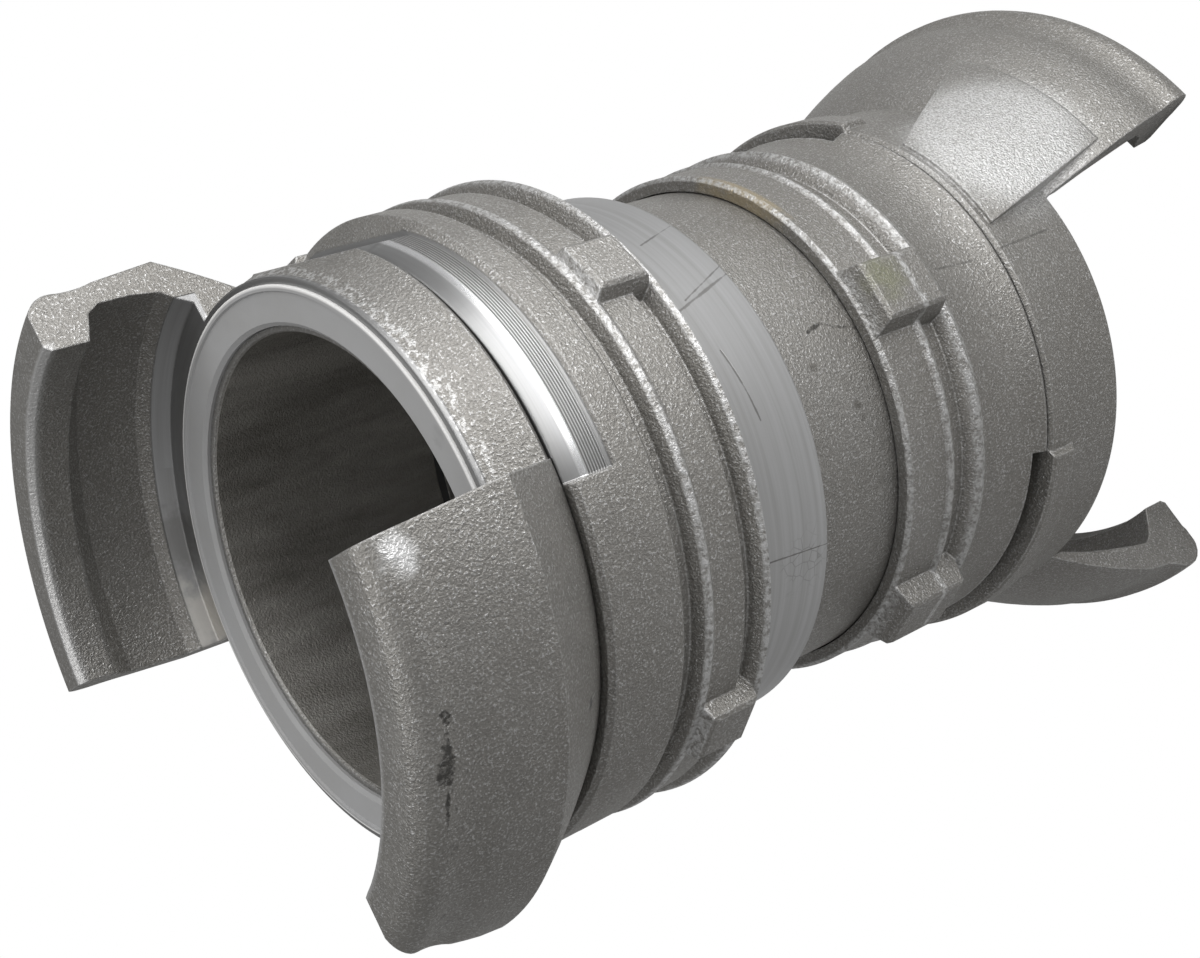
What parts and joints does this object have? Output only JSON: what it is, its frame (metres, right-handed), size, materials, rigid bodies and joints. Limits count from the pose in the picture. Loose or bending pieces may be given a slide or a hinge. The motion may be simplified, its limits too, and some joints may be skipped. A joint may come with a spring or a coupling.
{
  "type": "quarter turn fire hose coupling",
  "caption": "Double-ended hooked fire hose coupling: two half couplings screwed tail to tail, each with a face seal and a lugged locking ring that turns.",
  "frame": {"origin": "on the coupling axis, level with the tips of the two lower hooks, on which it stands", "axes": "+Z along the coupling axis from the lower end to the upper end; +X close to the middle of one upper hook"},
  "size_m": [0.1546, 0.1628, 0.2597],
  "materials": {
    "upper_half": "sand cast, machined on the tail and faces",
    "upper_ring": "sand cast, part machined",
    "upper_seal": "matt light grey",
    "lower_half": "sand cast",
    "lower_ring": "sand cast",
    "lower_seal": "matt light grey",
    "tail_gasket": "matt black"
  },
  "bodies": {
    "halves": {"upper_half": "upper_half", "lower_half": "lower_half", "upper_seal": "upper_seal", "lower_seal": "lower_seal", "tail_gasket": "tail_gasket"},
    "upper_ring": {"upper_ring": "upper_ring"},
    "lower_ring": {"lower_ring": "lower_ring"}
  },
  "joints": [
    {"name": "upper_ring_turn", "type": "hinge", "parent": "halves", "child": "upper_ring", "pos_m": [0, 0, 0.19], "axis": [0, 0, 1], "range_deg": [-90, 0]},
    {"name": "lower_ring_turn", "type": "hinge", "parent": "halves", "child": "lower_ring", "pos_m": [0, 0, 0.1], "axis": [0, 0, 1], "range_deg": [0, 90]}
  ]
}
